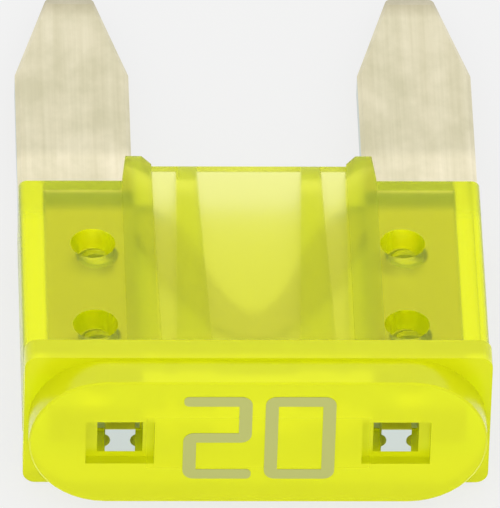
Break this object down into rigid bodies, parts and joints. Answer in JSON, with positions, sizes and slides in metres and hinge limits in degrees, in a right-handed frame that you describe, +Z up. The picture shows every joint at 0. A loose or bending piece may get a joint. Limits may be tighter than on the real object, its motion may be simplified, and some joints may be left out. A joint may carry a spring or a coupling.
{
  "type": "blade fuse",
  "caption": "Miniature automotive blade fuse: clear yellow moulded housing with an oblong head, staked over a stamped metal element with tapered blades.",
  "frame": {"origin": "centre of the footprint on the surface that the fuse lies on, so Z = 0 is the head's back face", "axes": "+Y from the head to the blade tips, +Z up through the thickness and out of the front, +X across both blades"},
  "size_m": [0.011, 0.0164, 0.0038],
  "materials": {
    "housing": "clear yellow moulded nylon",
    "fuse_element": "tinned zinc strip, rolled lengthwise"
  },
  "bodies": {
    "root": {"housing": "housing", "fuse_element": "fuse_element"}
  },
  "joints": []
}
